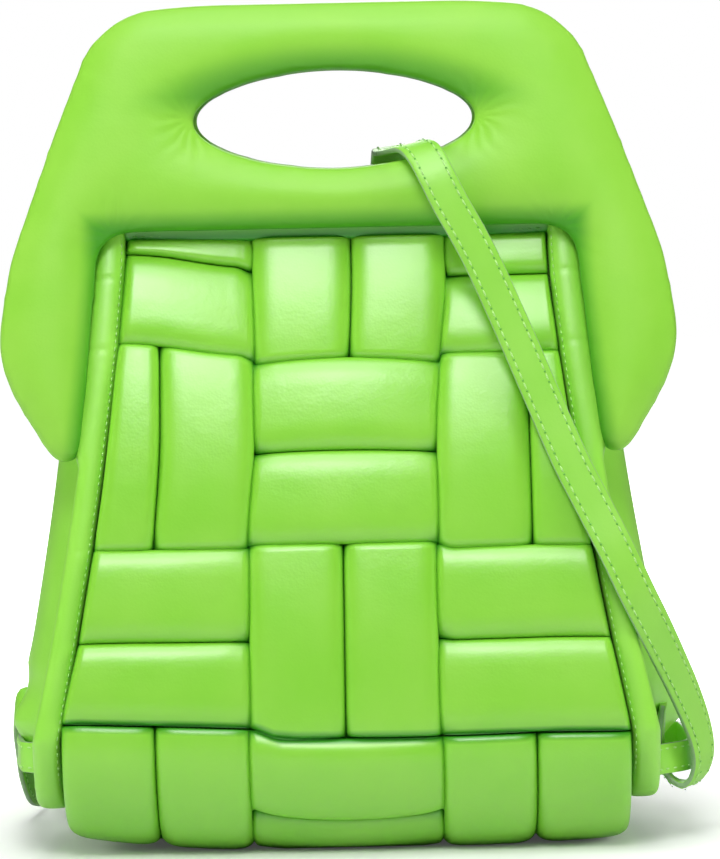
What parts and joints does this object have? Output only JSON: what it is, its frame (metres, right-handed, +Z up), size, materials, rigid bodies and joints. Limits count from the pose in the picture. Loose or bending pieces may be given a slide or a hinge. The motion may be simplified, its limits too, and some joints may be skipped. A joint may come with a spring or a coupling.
{
  "type": "padded woven handbag",
  "caption": "Padded leather handbag: basket-woven body between two handle panels with oval hand holes, leather gussets, and a narrow shoulder strap looped round keepers at the sides.",
  "frame": {"origin": "under the middle of the base, on the surface that the bag stands on", "axes": "+Z up, the front faces -Y, +X to the right as seen from the front"},
  "size_m": [0.2539, 0.1812, 0.3013],
  "materials": {
    "padded_leather": "soft satin, lightly pebbled, padded",
    "woven_leather": "soft satin, padded strips",
    "edge_leather": "soft satin, stitched",
    "strap_leather": "soft satin, two layers stitched, painted edges",
    "lining_cloth": "matt twill",
    "floor_board": "matt grey fibre board"
  },
  "bodies": {
    "base": {"base_board": "floor_board", "base_lining": "lining_cloth", "base_weft_front_high": "woven_leather", "base_weft_front_low": "woven_leather", "base_weft_center": "woven_leather", "base_weft_rear_low": "woven_leather", "base_weft_rear_high": "woven_leather", "base_warp_1": "woven_leather", "base_warp_2": "woven_leather", "base_warp_3": "woven_leather", "base_warp_4": "woven_leather", "base_warp_5": "woven_leather", "base_warp_6": "woven_leather", "left_base_border": "edge_leather", "right_base_border": "edge_leather", "left_gusset": "edge_leather", "right_gusset": "edge_leather", "left_keeper": "edge_leather", "right_keeper": "edge_leather", "strap_front": "strap_leather", "strap_back": "strap_leather", "strap_slack": "strap_leather"},
    "front_wall": {"front_handle": "padded_leather", "front_lining": "lining_cloth", "front_top_binding": "edge_leather", "front_left_border": "edge_leather", "front_right_border": "edge_leather", "front_warp_1": "woven_leather", "front_warp_2": "woven_leather", "front_warp_3": "woven_leather", "front_warp_4": "woven_leather", "front_warp_5": "woven_leather", "front_warp_6": "woven_leather", "front_weft_1": "woven_leather", "front_weft_2": "woven_leather", "front_weft_3": "woven_leather", "front_weft_4": "woven_leather", "front_weft_5": "woven_leather", "front_weft_6": "woven_leather"},
    "rear_wall": {"rear_handle": "padded_leather", "rear_lining": "lining_cloth", "rear_top_binding": "edge_leather", "rear_left_border": "edge_leather", "rear_right_border": "edge_leather", "rear_warp_1": "woven_leather", "rear_warp_2": "woven_leather", "rear_warp_3": "woven_leather", "rear_warp_4": "woven_leather", "rear_warp_5": "woven_leather", "rear_warp_6": "woven_leather", "rear_weft_1": "woven_leather", "rear_weft_2": "woven_leather", "rear_weft_3": "woven_leather", "rear_weft_4": "woven_leather", "rear_weft_5": "woven_leather", "rear_weft_6": "woven_leather"}
  },
  "joints": [
    {"name": "front_wall_tilt", "type": "hinge", "parent": "base", "child": "front_wall", "pos_m": [0, -0.0672, 0.0432], "axis": [1, 0, 0], "range_deg": [0, 12], "deforming": ["strap_front"]},
    {"name": "rear_wall_tilt", "type": "hinge", "parent": "base", "child": "rear_wall", "pos_m": [0, 0.0672, 0.0432], "axis": [-1, 0, 0], "range_deg": [0, 12], "deforming": ["strap_back"]}
  ]
}
